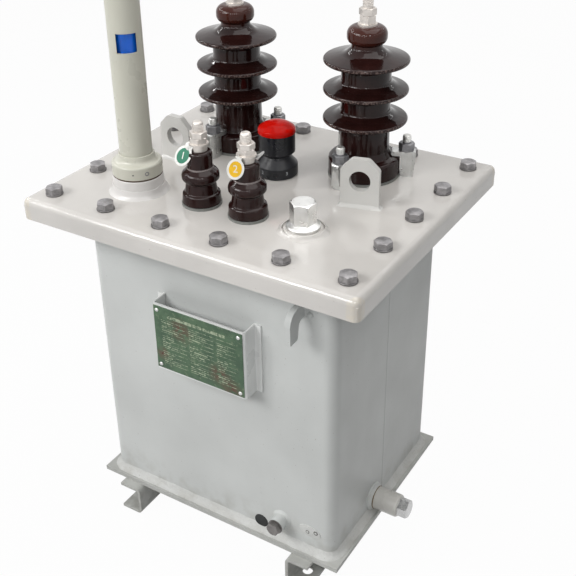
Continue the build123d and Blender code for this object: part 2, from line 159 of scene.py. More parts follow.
soft_lamp("key", (-1.3, -2.3, 2.1), (1.5, 1.1), 38.0, (1.0, 0.995, 0.985))
soft_lamp("overhead", (0.50, 0.35, 2.7), (2.6, 2.0), 36.0, (1.0, 0.985, 0.965))
tube_count, tube_first, tube_sweep = 21, -110, 280
tube_ring, tube_height, tube_size = 2.3, 1.9, (0.03, 0.8)
tube_watts, dim_watts, dim_from = 4.4, 0.5, 50
for i in range(tube_count):
    turn = tube_first + tube_sweep * i / (tube_count - 1)
    angle = math.radians(turn)
    place = (tube_ring * math.sin(angle), -tube_ring * math.cos(angle), tube_height)
    watts = tube_watts if turn < dim_from else dim_watts
    soft_lamp("tube_%02d" % i, place, tube_size, watts)

# -------------------------------- camera
# A fairly long lens held a little over a metre off, looking down on the cover from the front right
# and tipped slightly to one side.
cover_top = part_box("cover")[1].z
azimuth, elevation, roll = math.radians(31.87), math.radians(28.95), math.radians(-0.83)
aim, distance = Vector((0.1021, -0.1140, cover_top)), 1.0726
back = Vector((math.sin(azimuth) * math.cos(elevation), -math.cos(azimuth) * math.cos(elevation),
               math.sin(elevation)))
level = (-back).cross(Vector((0, 0, 1))).normalized()
upward = level.cross(-back)
right = level * math.cos(roll) + upward * math.sin(roll)
upward = upward * math.cos(roll) - level * math.sin(roll)
view_data = bpy.data.cameras.new("camera")
view_data.sensor_width, view_data.lens, view_data.shift_y = 36.0, 61.4, -0.0833
view_data.clip_start, view_data.clip_end = 0.05, 50.0
camera = bpy.data.objects.new("camera", view_data)
camera.matrix_world = Matrix((right, upward, back)).transposed().to_4x4()
camera.location = aim + back * distance
scene.collection.objects.link(camera)
scene.camera = camera

# -------------------------------- tank shell
# Two steel sheets bent to a rounded box and butt welded down the side walls, then sprayed with a
# cool grey enamel that has a fine orange peel. The seams are ground nearly flush before painting.
evenly = (1.0, 1.0, 1.0)
sharp_edge = math.radians(32)


def object_point(tree):
    """The place of each point on the object, in metres."""
    return tree.nodes.new("ShaderNodeTexCoord").outputs["Object"]


def add_noise(tree, per_metre, detail, stretch=evenly):
    """Noise over the object, in features per metre."""
    fit = tree.nodes.new("ShaderNodeMapping")
    fit.inputs["Scale"].default_value = stretch
    grain = tree.nodes.new("ShaderNodeTexNoise")
    grain.inputs["Scale"].default_value = per_metre
    grain.inputs["Detail"].default_value = detail
    tree.links.new(object_point(tree), fit.inputs["Vector"])
    tree.links.new(fit.outputs["Vector"], grain.inputs["Vector"])
    return grain.outputs["Fac"]


def add_range(tree, value, low, high, least, most):
    """A value that climbs from least to most as another climbs from low to high."""
    ranged = tree.nodes.new("ShaderNodeMapRange")
    for socket, number in (("From Min", low), ("From Max", high),
                           ("To Min", least), ("To Max", most)):
        ranged.inputs[socket].default_value = number
    tree.links.new(value, ranged.inputs["Value"])
    return ranged.outputs["Result"]


def add_patches(tree, per_metre, detail, low, high, least=0.0, most=1.0, stretch=evenly):
    """Patches whose strength climbs from least to most as the noise climbs from low to high."""
    return add_range(tree, add_noise(tree, per_metre, detail, stretch), low, high, least, most)


def height_share(tree, full, none):
    """From 1 at one height to 0 at the other, in metres."""
    parts = tree.nodes.new("ShaderNodeSeparateXYZ")
    tree.links.new(object_point(tree), parts.inputs["Vector"])
    return add_range(tree, parts.outputs["Z"], full, none, 1.0, 0.0)


def times(colour, factor):
    """A colour made darker or lighter, and no brighter than white."""
    return tuple(min(1.0, c * factor) for c in colour)


def add_mix(tree, share, first, second):
    """Two colours or colour sockets mixed by a share from 0 to 1."""
    mix = tree.nodes.new("ShaderNodeMix")
    mix.data_type = "RGBA"
    tree.links.new(share, mix.inputs["Factor"])
    for socket, value in ((mix.inputs["A"], first), (mix.inputs["B"], second)):
        if isinstance(value, tuple):
            socket.default_value = (*value, 1.0)
        else:
            tree.links.new(value, socket)
    return mix.outputs["Result"]


def add_bump(tree, shader, height, depth, strength=1.0):
    """Relief of a depth in metres, set over any relief already on the shader."""
    bump = tree.nodes.new("ShaderNodeBump")
    bump.inputs["Distance"].default_value = depth
    bump.inputs["Strength"].default_value = strength
    tree.links.new(height, bump.inputs["Height"])
    if shader.inputs["Normal"].is_linked:
        tree.links.new(shader.inputs["Normal"].links[0].from_socket, bump.inputs["Normal"])
    tree.links.new(bump.outputs["Normal"], shader.inputs["Normal"])


def enamel(name, colour, roughness, darker_heights=None, low_colour=(0.30, 0.29, 0.25), peel=0.00006,
           gloss=0.5):
    """Sprayed enamel: cloudy colour, orange peel, soft runs, and a patchy darker colour towards the
    bottom.
    """
    material, tree, shader = new_shader(name, colour, roughness)
    shader.inputs["Specular IOR Level"].default_value = gloss
    cloud = add_patches(tree, 7.0, 4.0, 0.35, 0.65)
    shade = add_mix(tree, cloud, times(colour, 0.93), times(colour, 1.035))
    runs = add_patches(tree, 16.0, 5.0, 0.55, 0.80, 0.0, 0.30, (1.0, 1.0, 0.12))
    shade = add_mix(tree, runs, shade, times(colour, 0.80))
    specks = add_patches(tree, 420.0, 1.0, 0.76, 0.80, 0.0, 0.45)
    shade = add_mix(tree, specks, shade, (0.22, 0.20, 0.17))
    # Between the two heights the colour turns patchily darker towards the bottom.
    if darker_heights:
        low_patches = add_patches(tree, 55.0, 6.0, 0.42, 0.70, 0.0, 0.55)
        darkened = add_math(tree, "MULTIPLY", height_share(tree, *darker_heights), low_patches)
        shade = add_mix(tree, darkened, shade, low_colour)
    tree.links.new(shade, shader.inputs["Base Color"])
    polish = add_patches(tree, 22.0, 4.0, 0.3, 0.7, roughness - 0.06, roughness + 0.08)
    tree.links.new(polish, shader.inputs["Roughness"])
    add_bump(tree, shader, add_noise(tree, 260.0, 2.0), peel)
    add_bump(tree, shader, add_noise(tree, 18.0, 2.0), 0.0006)
    return material


def dress(material, *names):
    """Gives CAD nodes their finish and keeps their shapes."""
    for name in names:
        slots = nodes[name].data.materials
        if not slots:
            slots.append(material)
        for i in range(len(slots)):
            slots[i] = material


def place_piece(name, mesh, material):
    """Puts a finished mesh on the tank."""
    mesh.materials.clear()
    mesh.materials.append(material)
    piece = bpy.data.objects.new(name, mesh)
    scene.collection.objects.link(piece)
    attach(piece, "root")


def make_piece(name, bm, material):
    """Turns a bmesh into a piece, smooth except at its sharp edges."""
    bmesh.ops.recalc_face_normals(bm, faces=bm.faces)
    for face in bm.faces:
        face.smooth = True
    for edge in bm.edges:
        edge.smooth = len(edge.link_faces) == 2 and edge.calc_face_angle(0.0) < sharp_edge
    mesh = bpy.data.meshes.new(name)
    bm.to_mesh(mesh)
    bm.free()
    place_piece(name, mesh, material)


def add_band(bm, a, b, closed=True):
    """Faces between two rows of points, which are rings if closed."""
    for k in range(len(a) if closed else len(a) - 1):
        n = (k + 1) % len(a)
        bm.faces.new((a[k], a[n], b[n], b[k]))


def stepped(path, step, closed):
    """Points at even steps along a path of straight runs."""
    ends = path + [path[0]] if closed else path
    found = []
    for a, b in zip(ends, ends[1:]):
        count = max(1, round((b - a).length / step))
        found += [a.lerp(b, i / count) for i in range(count)]
    return found if closed else found + [ends[-1]]


def round_section(radius, squash=1.0, sides=9):
    return [(radius * math.cos(2 * math.pi * k / sides),
             radius * squash * math.sin(2 * math.pi * k / sides)) for k in range(sides)]


def add_run(bm, path, section, away=Vector((0, 0, 1)), closed=True, step=0.0015, ripple=0.0,
            rough=0.10):
    """A weld run of (outward, upward) section points, with ripples and an uneven size."""
    ripple_pitch, coarse, fine, taper = 0.0034, 45, 160, 0.35
    points = stepped(path, step, closed)
    count = len(points)
    rings = []
    for i, point in enumerate(points):
        before = points[i - 1] if closed or i else points[0]
        after = points[(i + 1) % count] if closed or i + 1 < count else points[-1]
        along = (after - before).normalized()
        across = along.cross(away).normalized()
        out = across.cross(along).normalized()
        size = 1 + ripple * math.sin(i * step / ripple_pitch * 2 * math.pi)
        size += rough * noise.noise(point * fine)
        size += rough * noise.noise(point * coarse + Vector((5, 5, 5)))
        if not closed and i in (0, count - 1):
            size *= taper
        rings.append([bm.verts.new(point + across * a * size + out * b * size) for a, b in section])
    for i in range(count if closed else count - 1):
        add_band(bm, rings[i], rings[(i + 1) % count])
    if not closed:
        bm.faces.new(rings[0])
        bm.faces.new(rings[-1])


base_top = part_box("base_plate")[1].z
# The enamel turns patchily darker over the lowest 50 mm of the wall.
tank_enamel = enamel("tank_enamel", (0.575, 0.59, 0.58), 0.34, (base_top, base_top + 0.05),
                     gloss=0.15)
dress(tank_enamel, "tank_front_sheet", "tank_rear_sheet")

tank_low, sheet_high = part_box("tank_front_sheet")
tank_high = Vector((-tank_low.x, -tank_low.y, sheet_high.z))
seam = bmesh.new()
for x in (tank_low.x, tank_high.x):
    run = [Vector((x, 0.0, tank_low.z + 0.004)), Vector((x, 0.0, tank_high.z - 0.008))]
    add_run(seam, run, round_section(0.0021, 0.24), Vector((math.copysign(1, x), 0, 0)),
            closed=False, step=0.003, rough=0.25)
make_piece("side_seams", seam, tank_enamel)

# -------------------------------- base plate and feet
# A plain steel plate welded round under the tank wall, on two bent channels with the flanges out.
# All painted with the tank but in a darker colour, patchily darker still towards the floor.
tank_corner = 0.015
stitch_inset, stitch_end, stitch_radius, stitch_sink = 0.01, 0.07, 0.003, 0.001
channels = ("foot_channel_left", "foot_channel_right")
under_enamel = enamel("under_enamel", (0.47, 0.475, 0.455), 0.42, (0.0, base_top + 0.02),
                      (0.17, 0.16, 0.135), gloss=0.2)
dress(under_enamel, "base_plate", *channels)


def fillet_section(reach, rise, hollow=0.35):
    """A dressed fillet: from the plate, in a shallow hollow, up to the wall, and closed behind."""
    sunk, count = -0.0006, 8
    face = []
    for k in range(count):
        t = k / (count - 1)
        sag = hollow * math.sin(math.pi * t) * 0.5
        face.append((reach * (1 - t) * (1 - sag), rise * t * (1 - sag)))
    return [(sunk, sunk), (reach, sunk)] + face + [(sunk, rise)]


def level_arc(centre, radius, start, end, count):
    """Points on a level arc between two angles in degrees, both ends included."""
    turns = [math.radians(start + (end - start) * i / count) for i in range(count + 1)]
    return [Vector((centre[0] + radius * math.cos(turn), centre[1] + radius * math.sin(turn),
                    centre[2])) for turn in turns]


foot_weld = bmesh.new()
x, y = tank_high.x - tank_corner, tank_high.y - tank_corner
outline = []
for quarter, (sx, sy) in enumerate(((1, 1), (-1, 1), (-1, -1), (1, -1))):
    outline += level_arc((sx * x, sy * y, base_top), tank_corner, 90 * quarter,
                         90 * quarter + 90, 7)
add_run(foot_weld, outline, fillet_section(0.0078, 0.0088), ripple=0.01, rough=0.07)
# The weld's paint turns patchily darker towards its foot on the plate.
weld_enamel = enamel("weld_enamel", (0.59, 0.595, 0.58), 0.42, (base_top, base_top + 0.012),
                     (0.36, 0.35, 0.31), gloss=0.2)
tree, shader = opened(weld_enamel)
add_bump(tree, shader, add_noise(tree, 420.0, 5.0), 0.0011)
make_piece("wall_foot_weld", foot_weld, weld_enamel)

channel_welds = bmesh.new()
plate_low, plate_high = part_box("base_plate")
for node in channels:
    low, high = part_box(node)
    z = high.z - stitch_sink
    for x in (low.x + stitch_sink, high.x - stitch_sink):
        for start, end in ((plate_low.y + stitch_inset, plate_low.y + stitch_end),
                           (plate_high.y - stitch_end, plate_high.y - stitch_inset)):
            add_run(channel_welds, [Vector((x, start, z)), Vector((x, end, z))],
                    round_section(stitch_radius), closed=False, ripple=0.10, rough=0.22)
make_piece("foot_channel_welds", channel_welds, under_enamel)

# -------------------------------- cover, flange and gasket
# A pan folded from sheet with welded and dressed corners, in a warmer, glossier coat than the tank.
# It sits on a cork and rubber gasket over the tank's flange.
cover_low, cover_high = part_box("cover")
cover_bend, seam_sink = 0.008, 0.0007
filler_colour = (0.60, 0.555, 0.475)


def add_vector_step(tree, operation, point, other=(0.0, 0.0, 0.0), result="Vector"):
    """One step of vector maths on a point."""
    step = tree.nodes.new("ShaderNodeVectorMath")
    step.operation = operation
    step.inputs[1].default_value = other
    tree.links.new(point, step.inputs[0])
    return step.outputs[result]


def paint_over(tree, shader, share, colour):
    """Lays one more colour over a finish where the share says so."""
    under = shader.inputs["Base Color"].links[0].from_socket
    tree.links.new(add_mix(tree, share, under, colour), shader.inputs["Base Color"])


cover_enamel = enamel("cover_enamel", (0.585, 0.565, 0.54), 0.13, peel=0.00002, gloss=0.6)
tree, shader = opened(cover_enamel)
folded = add_vector_step(tree, "ABSOLUTE", object_point(tree))
reach = add_vector_step(tree, "DOT_PRODUCT", folded, (1.0, 1.0, 0.0), "Value")
corner = cover_high.x + cover_high.y
dressed = add_range(tree, reach, corner - 0.0150, corner - 0.0125, 0.0, 0.85)
dressed = add_math(tree, "MULTIPLY", dressed, add_patches(tree, 190.0, 5.0, 0.30, 0.60, 0.35, 1.0))
paint_over(tree, shader, dressed, filler_colour)
add_bump(tree, shader, add_noise(tree, 11.0, 2.0), 0.0012)
dress(cover_enamel, "cover")
dress(tank_enamel, "tank_flange")


def grainy(name, colour, roughness=0.75):
    """A dull surface with a fine grain, such as rubber, cork or rust."""
    material, tree, shader = new_shader(name, colour, roughness)
    grain = add_noise(tree, 300.0, 4.0)
    shade = add_mix(tree, grain, times(colour, 0.7), times(colour, 1.5))
    tree.links.new(shade, shader.inputs["Base Color"])
    add_bump(tree, shader, grain, 0.0002)
    return material


dress(grainy("gasket_rubber", (0.045, 0.048, 0.048)), "cover_gasket")

corner_seams = bmesh.new()
tuck = cover_bend * (1 - math.sqrt(0.5))
for sx in (-1, 1):
    for sy in (-1, 1):
        x = sx * (cover_high.x - tuck - seam_sink)
        y = sy * (cover_high.y - tuck - seam_sink)
        run = [Vector((x, y, cover_low.z + 0.0015)), Vector((x, y, cover_high.z - cover_bend))]
        add_run(corner_seams, run, round_section(0.0024, 0.6), Vector((sx, sy, 0)).normalized(),
                closed=False, ripple=0.06, rough=0.3)
make_piece("cover_corner_seams", corner_seams, cover_enamel)

# -------------------------------- cover bolts
# M12 hexagon bolts with a washer under each head, and a washer and nut below the tank's flange.
# Hot dip galvanised to a dull, mottled grey.
shank_radius, bore_radius, bolt_flats, washer_radius = 0.0060, 0.0055, 0.018, 0.0106
washer_height, head_height, nut_height, shank_length = 0.0022, 0.0078, 0.0100, 0.0175
pattern = {m["name"]: m for m in frame["record"]["mounts"]}["cover_bolts_corners"]["dims"]
span_x, span_y = pattern["spacing_x_mm"] / 1000, pattern["spacing_y_mm"] / 1000
last_column, last_row = 5, 4
bolt_places = [(span_x * (i / last_column - 0.5), span_y * (j / last_row - 0.5))
               for i in range(last_column + 1) for j in range(last_row + 1)
               if i in (0, last_column) or j in (0, last_row)]


def metal(name, colour, roughness, per_metre, mottle, relief):
    """Bare or plated metal: mottled colour, uneven polish and a fine grain."""
    material, tree, shader = new_shader(name, colour, roughness, 1.0)
    patch = add_patches(tree, per_metre, 5.0, 0.3, 0.7)
    shade = add_mix(tree, patch, times(colour, 1 - mottle), times(colour, 1 + mottle))
    tree.links.new(shade, shader.inputs["Base Color"])
    polish = add_patches(tree, per_metre * 2.3, 4.0, 0.3, 0.7, roughness * 0.75,
                         min(1.0, roughness * 1.35))
    tree.links.new(polish, shader.inputs["Roughness"])
    add_bump(tree, shader, add_noise(tree, per_metre * 8, 3.0), relief)
    return material


def add_ring(bm, place, tilt, radius, height, steps, turn=0.0):
    """Points round a circle whose axis is +Z, or +Z tilted."""
    spins = [2 * math.pi * k / steps + turn for k in range(steps)]
    return [bm.verts.new(place + tilt @ Vector((radius * math.cos(spin), radius * math.sin(spin),
                                                height))) for spin in spins]


def add_turned(bm, profile, place, steps=48, tilt=Matrix.Identity(3)):
    """A lathe-turned body from (radius, height) points, standing on its place."""
    rings = []
    for radius, height in profile:
        if radius:
            rings.append(add_ring(bm, place, tilt, radius, height, steps))
        else:
            rings.append([bm.verts.new(place + tilt @ Vector((0, 0, height)))])
    for a, b in zip(rings, rings[1:]):
        if len(a) == len(b):
            add_band(bm, a, b)
            continue
        for k in range(steps):
            n = (k + 1) % steps
            bm.faces.new((a[0], b[k], b[n]) if len(a) == 1 else (a[k], a[n], b[0]))


def add_hexagon(bm, flats, height, place, turn, hole=0.0, tilt=Matrix.Identity(3)):
    """A hexagon head, or with a hole a nut, with its corners turned off at its outer ends."""
    steps, crown, slope = 48, flats * 0.475, math.tan(math.radians(30))

    def add_corner(radius, spin, z):
        return bm.verts.new(place + tilt @ Vector((radius * math.cos(spin),
                                                   radius * math.sin(spin), z)))

    lower, upper, lower_rim, upper_rim = [], [], [], []
    for k in range(steps):
        angle = 2 * math.pi * k / steps
        radius = flats / 2 / math.cos(angle % (math.pi / 3) - math.pi / 6)
        cut = max(0.0, radius - crown) * slope
        lower.append(add_corner(radius, angle + turn, cut if hole else 0.0))
        upper.append(add_corner(radius, angle + turn, height - cut))
        if hole:
            lower_rim.append(add_corner(crown, angle + turn, 0.0))
        upper_rim.append(add_corner(crown, angle + turn, height))
    add_band(bm, lower, upper)
    add_band(bm, upper, upper_rim)
    if hole:
        add_band(bm, lower_rim, lower)
        for rim, z in ((upper_rim, height), (lower_rim, 0.0)):
            add_band(bm, rim, add_ring(bm, place, tilt, hole, z, steps, turn))
    else:
        bm.faces.new(upper_rim)
        bm.faces.new(lower)


galvanised = metal("galvanised", (0.265, 0.258, 0.262), 0.54, 150.0, 0.26, 0.00022)
dull_washer = metal("dull_washer", (0.17, 0.165, 0.165), 0.5, 120.0, 0.25, 0.0001)
edge = washer_height * 0.18
washer = [(bore_radius, 0.0), (washer_radius - edge, 0.0), (washer_radius, edge),
          (washer_radius, washer_height - edge), (washer_radius - edge, washer_height),
          (bore_radius, washer_height)]
chamfer, thread_sink, half_pitch, thread_rows = 0.0012, 0.0009, 0.00088, 18
shank = [(0.0, 0.0), (shank_radius - chamfer, 0.0), (shank_radius - 0.0002, chamfer)]
shank += [(shank_radius - thread_sink * (k % 2), chamfer + half_pitch * (k + 1))
          for k in range(thread_rows)]
flange_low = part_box("tank_flange")[0].z
on_washer, upside_down = Vector((0, 0, washer_height)), Matrix.Rotation(math.pi, 3, "X")
heads, nuts, washers = bmesh.new(), bmesh.new(), bmesh.new()
for i, (x, y) in enumerate(bolt_places):
    spin = 0.9 * i + 0.37 * i * i
    top, under = Vector((x, y, cover_top)), Vector((x, y, flange_low))
    add_turned(washers, washer, top, 40)
    add_hexagon(heads, bolt_flats, head_height, top + on_washer, spin)
    add_turned(washers, washer, under, 40, upside_down)
    add_hexagon(nuts, bolt_flats, nut_height, under - on_washer, spin + 0.4, bore_radius,
                upside_down)
    add_turned(nuts, shank, under - Vector((0, 0, shank_length)), 32)
make_piece("cover_bolt_heads", heads, galvanised)
make_piece("cover_bolt_nuts", nuts, galvanised)
make_piece("cover_bolt_washers", washers, dull_washer)

# -------------------------------- lifting lugs and hooks
# Flame cut plate, edges ground, welded on both sides and painted over the weld. The lugs stand on
# the cover and the hooks on the front and rear walls.
lug_width, lug_plate = 0.046, 0.008
hook_root, hook_lobe = 0.0175, 0.0042
lug_enamel = enamel("lug_enamel", (0.58, 0.575, 0.555), 0.20, peel=0.00003)
dress(lug_enamel, "lifting_lug_left", "lifting_lug_right")
dress(tank_enamel, "tank_hook_front", "tank_hook_rear")

lug_welds = bmesh.new()
for node, turned in (("lifting_lug_left", -2.5), ("lifting_lug_right", 14.5)):
    low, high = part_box(node)
    centre = (low + high) / 2
    centre.z = low.z
    spin = Matrix.Rotation(math.radians(turned), 3, "Z")
    outline = [centre + spin @ Vector((a * lug_width / 2, b * lug_plate / 2, 0.0))
               for a, b in ((-1, -1), (1, -1), (1, 1), (-1, 1))]
    add_run(lug_welds, outline, fillet_section(0.0042, 0.0034), ripple=0.03, rough=0.35)
make_piece("lug_welds", lug_welds, lug_enamel)

hook_welds = bmesh.new()
for node, wall, out in (("tank_hook_front", tank_low.y, -1), ("tank_hook_rear", tank_high.y, 1)):
    low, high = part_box(node)
    arm, away = high.z - hook_root, Vector((0, out, 0))
    ends = [(low.x, high.z), (low.x, arm), (high.x, arm), (high.x, high.z)]
    outline = [Vector((x, wall, z)) for x, z in ends[::-out]]
    add_run(hook_welds, outline, fillet_section(0.0046, 0.0036), away, ripple=0.04, rough=0.35)
    lobe = [Vector((high.x + 0.004, wall, high.z - 0.013)),
            Vector((high.x + 0.0065, wall, high.z - 0.019))]
    add_run(hook_welds, lobe, round_section(hook_lobe, 0.7, 12), away, closed=False, rough=0.3)
make_piece("hook_welds", hook_welds, tank_enamel)

# -------------------------------- high-voltage bushings
# Dark brown glazed porcelain with three sheds on a grey gasket, held down by pale cast claws on
# three studs round the base flange. The glaze fires redder on the head, and the terminal is plated.
stud_radius, stud_pitch, stud_end = 0.006, 0.00175, 0.0025
clamp_ring, clamp_stud, clamp_pitch, clamp_first = 0.0515, 0.005, 0.0015, 24
clamp_nut_top, clamp_stud_top = 0.0435, 0.0515
brown, rim_glint_colour = (0.0145, 0.0048, 0.0042), (0.20, 0.14, 0.125)


def glaze(name, colour, head=None, shed=None):
    """Fired glaze, glassy and almost black, with a redder head; a shed's rim gets a painted
    highlight.
    """
    material, tree, shader = new_shader(name, colour, 0.07)
    shader.inputs["IOR"].default_value = 1.22
    shader.inputs["Specular IOR Level"].default_value = 1.0
    cloud = add_patches(tree, 60.0, 4.0, 0.35, 0.7)
    shade = add_mix(tree, cloud, colour, times(colour, 1.6))
    if head:
        head_colour, full, none = head
        shade = add_mix(tree, height_share(tree, full, none), shade, head_colour)
    if shed:
        axis, rim = shed
        # A broken pale line at the outer edge of each shed's rim is a painted highlight, in place
        # of lamp glints.
        folded = add_vector_step(tree, "ABSOLUTE", object_point(tree))
        flat = add_vector_step(tree, "MULTIPLY", folded, (1.0, 1.0, 0.0))
        off = add_vector_step(tree, "DISTANCE", flat, (abs(axis.x), abs(axis.y), 0.0), "Value")
        thin = add_range(tree, off, rim - 0.0008, rim - 0.0002, 0.0, 1.0)
        broken = add_patches(tree, 420.0, 4.0, 0.46, 0.60, 0.0, 0.6)
        shade = add_mix(tree, add_math(tree, "MULTIPLY", thin, broken), shade, rim_glint_colour)
    flecks = add_patches(tree, 700.0, 1.0, 0.74, 0.78, 0.0, 0.6)
    shade = add_mix(tree, flecks, shade, times(colour, 3.0))
    tree.links.new(shade, shader.inputs["Base Color"])
    polish = add_patches(tree, 35.0, 3.0, 0.3, 0.7, 0.045, 0.10)
    tree.links.new(polish, shader.inputs["Roughness"])
    add_bump(tree, shader, add_noise(tree, 45.0, 2.0), 0.0007, 0.5)
    add_bump(tree, shader, add_noise(tree, 190.0, 2.0), 0.00008)
    return material


def add_thread(bm, place, radius, low, high, pitch, steps=20):
    """A helical thread ridge round a stud, fading out at both ends."""
    root, depth = radius - 0.0003, 0.00045
    count = int((high - low) / pitch * steps)
    rings = []
    for i in range(count + 1):
        angle = 2 * math.pi * i / steps
        z = low + (high - low) * i / count
        crest = radius + depth * min(1.0, i / steps, (count - i) / steps)
        arm = Vector((math.cos(angle), math.sin(angle), 0))
        ridge = ((root, -0.42), (crest, -0.08), (crest, 0.08), (root, 0.42))
        rings.append([bm.verts.new(place + arm * out + Vector((0, 0, z + pitch * rise)))
                      for out, rise in ridge])
    for a, b in zip(rings, rings[1:]):
        add_band(bm, a, b)
    bm.faces.new(rings[0])
    bm.faces.new(rings[-1])


def axis_on_cover(low, high):
    """Where the upright axis of a node's box meets the top of the cover."""
    return Vector(((low.x + high.x) / 2, (low.y + high.y) / 2, cover_top))


zinc = metal("zinc_plate", (0.57, 0.54, 0.51), 0.50, 110.0, 0.12, 0.00004)
cast = metal("cast_claw", (0.55, 0.555, 0.545), 0.32, 70.0, 0.14, 0.0003)
tree, shader = opened(cast)
add_bump(tree, shader, add_noise(tree, 160.0, 3.0, (1.0, 1.0, 0.10)), 0.0003)
clamp_steel, nut_grey = (metal(name, (0.235, 0.235, 0.245), 0.46, 130.0, 0.20, 0.0001)
                         for name in ("clamp_steel", "nut_grey"))
tree, shader = opened(clamp_steel)
nut_face = cover_top + clamp_nut_top
paint_over(tree, shader, height_share(tree, nut_face + 0.0007, nut_face + 0.0001),
           (0.60, 0.60, 0.58))
bright_tip = metal("bright_tip", (0.62, 0.62, 0.61), 0.34, 150.0, 0.12, 0.00005)
pale_gasket = grainy("pale_gasket", (0.17, 0.175, 0.165))
hv_low, hv_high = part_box("hv_porcelain_left")
# The last argument lays a painted highlight, a broken pale line, round each shed's rim.
hv_glaze_and_glints = glaze("hv_glaze_and_glints", brown,
                 ((0.050, 0.0115, 0.007), hv_high.z - 0.018, hv_high.z - 0.027),
                 ((hv_low + hv_high) / 2, (hv_high.x - hv_low.x) / 2))
hv_threads, clamp_threads = bmesh.new(), bmesh.new()
for side in ("left", "right"):
    dress(hv_glaze_and_glints, "hv_porcelain_" + side)
    dress(zinc, "hv_terminal_" + side)
    dress(cast, "hv_clamps_" + side)
    dress(clamp_steel, "hv_clamp_studs_" + side)
    dress(pale_gasket, "hv_gasket_" + side)
    low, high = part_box("hv_terminal_" + side)
    axis = axis_on_cover(low, high)
    add_thread(hv_threads, axis, stud_radius, hv_high.z - cover_top + 0.022,
               high.z - cover_top - stud_end, stud_pitch)
    for k in range(3):
        angle = math.radians(clamp_first + 120 * k)
        stud = axis + Vector((math.cos(angle), math.sin(angle), 0)) * clamp_ring
        add_thread(clamp_threads, stud, clamp_stud, clamp_nut_top, clamp_stud_top, clamp_pitch)
make_piece("hv_stud_threads", hv_threads, zinc)
make_piece("clamp_stud_threads", clamp_threads, bright_tip)

# -------------------------------- low-voltage bushings
# Smaller porcelains in the same glaze on pale gaskets, each with a collar, a washer and two nuts
# for the cable lug. A thin unglazed ring shows above the round shed.
lv_thread_foot = 0.0915
ring_height, ring_half, ring_edge = cover_top + 0.047, 0.0006, 0.0011
lv_glaze = glaze("lv_glaze", brown)
tree, shader = opened(lv_glaze)
below = height_share(tree, ring_height + ring_half, ring_height + ring_edge)
above = height_share(tree, ring_height - ring_half, ring_height - ring_edge)
paint_over(tree, shader, add_math(tree, "MULTIPLY", below, above), (0.22, 0.19, 0.185))
lv_threads = bmesh.new()
lv_axes = {}
for side in ("left", "right"):
    dress(lv_glaze, "lv_porcelain_" + side)
    dress(zinc, "lv_terminal_" + side)
    dress(pale_gasket, "lv_gasket_" + side)
    low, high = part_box("lv_terminal_" + side)
    lv_axes[side] = axis_on_cover(low, high)
    add_thread(lv_threads, lv_axes[side], stud_radius, lv_thread_foot,
               high.z - cover_top - stud_end, stud_pitch)
make_piece("lv_stud_threads", lv_threads, zinc)

# -------------------------------- terminal tags
# Printed plastic tags caught under the terminal washers: a white teardrop with a coloured oval and
# a plain number. The right terminal also has a small steel tab on the far side.
tag_sheet, print_sheet, neck_half, number_size = 0.0007, 0.00012, 0.0040, 0.0120
tag_rows, print_rows, seat_height = 40, 24, 0.0746


def plastic(name, colour):
    """Printed plastic sheet: barely clouded, with a fine grain."""
    material, tree, shader = new_shader(name, colour, 0.35)
    shader.inputs["Specular IOR Level"].default_value = 0.4
    cloud = add_patches(tree, 140.0, 4.0, 0.3, 0.7)
    shade = add_mix(tree, cloud, times(colour, 0.88), times(colour, 1.10))
    tree.links.new(shade, shader.inputs["Base Color"])
    add_bump(tree, shader, add_noise(tree, 600.0, 2.0), 0.00004)
    return material


def add_leaf(bm, spine, facing, widths, lift, thickness):
    """A thin bent plate: rows across a spine, of given half widths, lifted along its face."""
    cells = 8
    rows = []
    for i, (point, half) in enumerate(zip(spine, widths)):
        along = (spine[min(i + 1, len(spine) - 1)] - spine[max(i - 1, 0)]).normalized()
        side = along.cross(facing).normalized()
        normal = side.cross(along).normalized()
        rows.append([[bm.verts.new(point + side * half * (2 * k / cells - 1) + normal * layer)
                      for k in range(cells + 1)] for layer in (lift + thickness, lift)])
    for a, b in zip(rows, rows[1:]):
        for layer in (0, 1):
            add_band(bm, a[layer], b[layer], closed=False)
        for k in (0, cells):
            bm.faces.new((a[0][k], a[1][k], b[1][k], b[0][k]))
    for row in (rows[0], rows[-1]):
        add_band(bm, row[0], row[1], closed=False)


def curve_through(start, lift, middle, end, count):
    """Points from a start, lifted towards a control point, through a middle and on to an end."""
    found = []
    bend = count // 4
    for i in range(bend):
        t = i / bend
        found.append(start * (1 - t) ** 2 + lift * 2 * t * (1 - t) + middle * t * t)
    return found + [middle.lerp(end, i / (count - bend)) for i in range(count - bend + 1)]


def oval(t):
    """Half width of a unit circle at a place from -1 to 1 along it."""
    return math.sqrt(max(0.0, 1 - t * t))


def add_number(word, size, place, side, upward, normal, name, material):
    """A raised number, laid flat on a face."""
    letters = bpy.data.curves.new(name + "_shape", "FONT")
    letters.body, letters.size, letters.extrude = word, size, 0.00006
    letters.align_x, letters.align_y = "CENTER", "CENTER"
    holder = bpy.data.objects.new(name + "_shape", letters)
    scene.collection.objects.link(holder)
    bpy.context.view_layer.update()
    seen = holder.evaluated_get(bpy.context.evaluated_depsgraph_get())
    mesh = bpy.data.meshes.new_from_object(seen)
    bpy.data.objects.remove(holder)
    mesh.transform(Matrix((side, upward, normal)).transposed().to_4x4())
    mesh.transform(Matrix.Translation(place))
    mesh.name = name
    place_piece(name, mesh, material)


